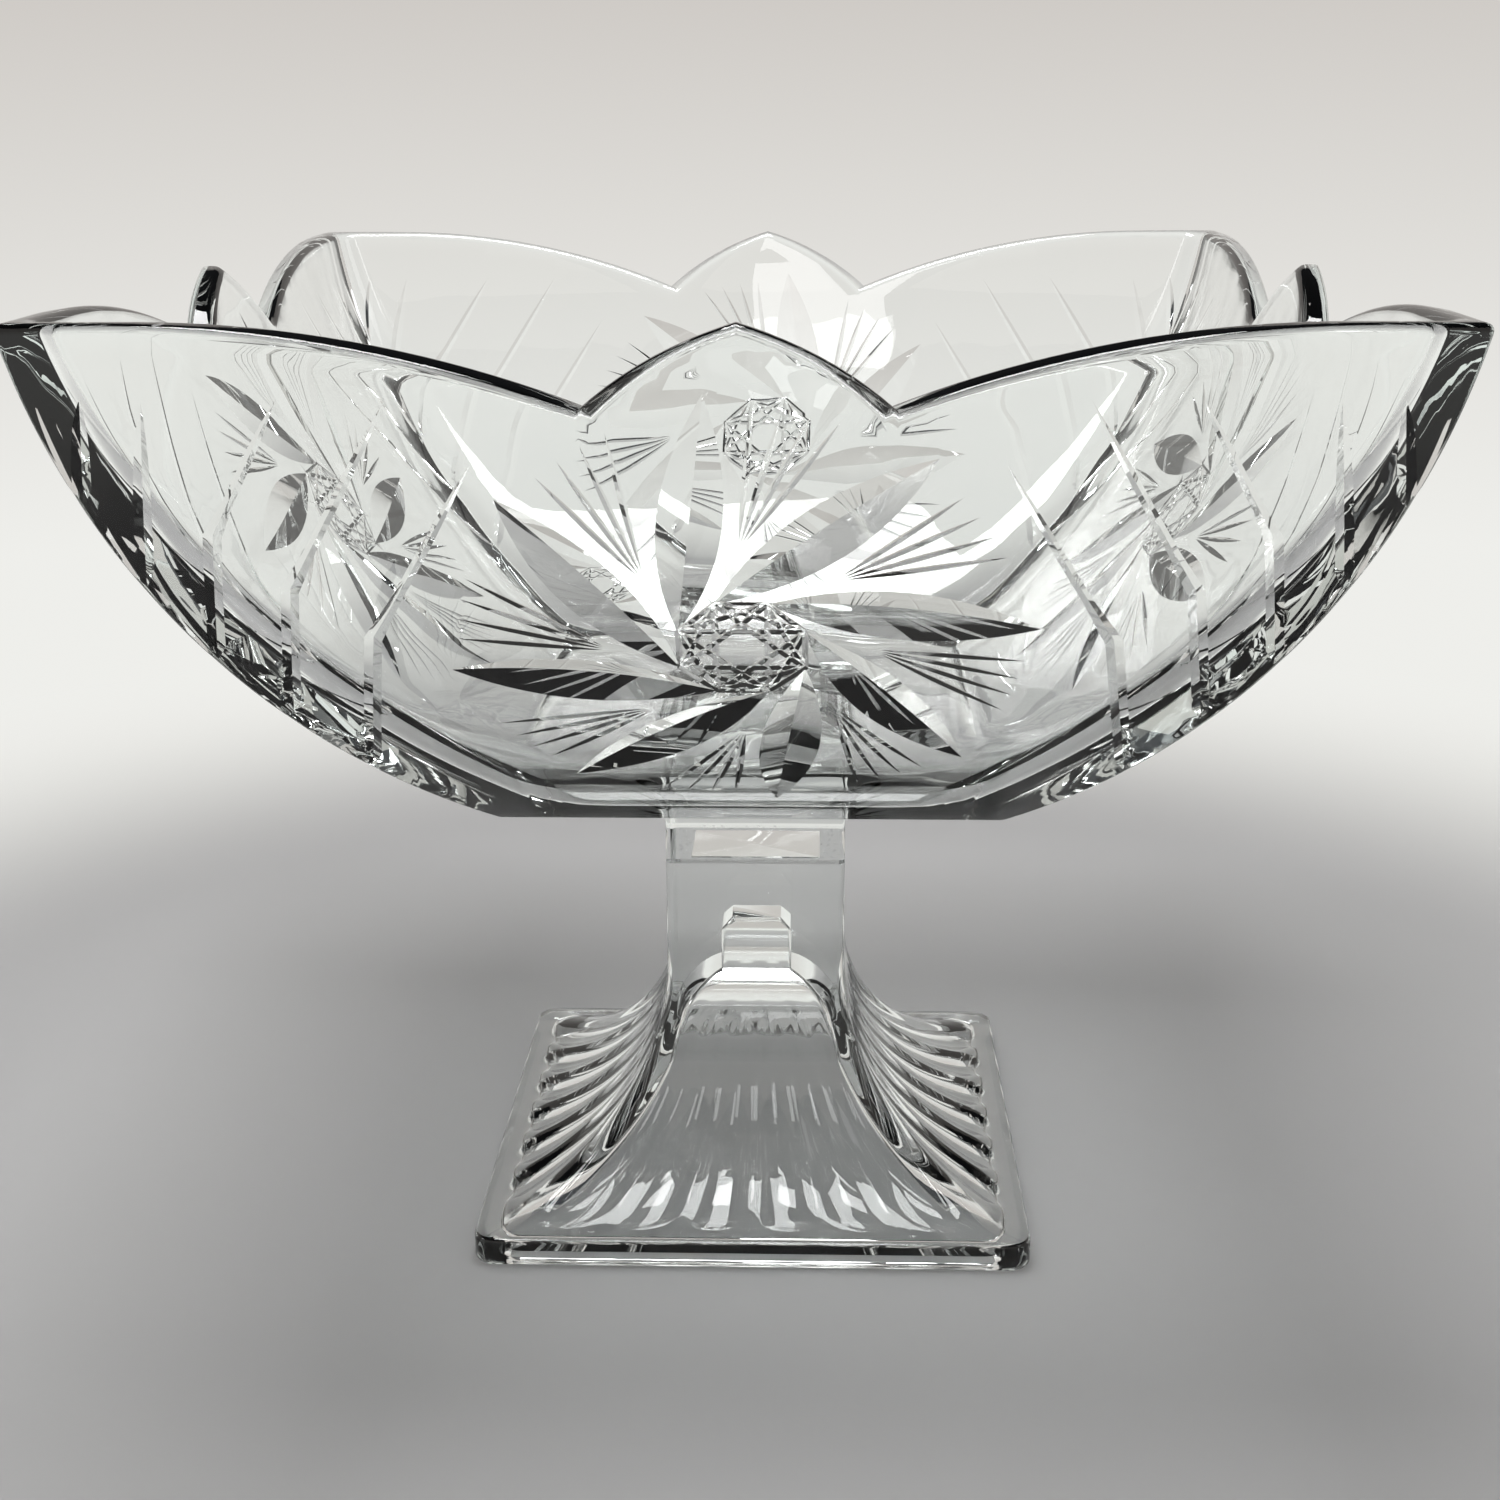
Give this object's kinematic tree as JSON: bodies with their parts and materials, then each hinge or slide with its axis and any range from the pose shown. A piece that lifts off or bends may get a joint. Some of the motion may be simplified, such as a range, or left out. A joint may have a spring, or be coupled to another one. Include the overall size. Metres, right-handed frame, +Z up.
{
  "type": "punch bowl",
  "caption": "Square clear crystal bowl with a scalloped rim, cut pinwheels and corner cuts, bonded to a flared, fluted, hollow square foot; holds punch or fruit.",
  "frame": {"origin": "middle of the foot, on the plane of the ring that stands on the table", "axes": "+Z up along the neck; -Y toward the viewer's wall; +X to the right"},
  "size_m": [0.3, 0.3, 0.2587],
  "materials": {
    "crystal_bowl": "clear polished crystal with cut facets",
    "crystal_foot": "clear pressed crystal, fire polished",
    "adhesive": "clear cured adhesive film"
  },
  "bodies": {
    "root": {"bowl": "crystal_bowl", "pedestal": "crystal_foot", "bond_film": "adhesive"}
  },
  "joints": []
}
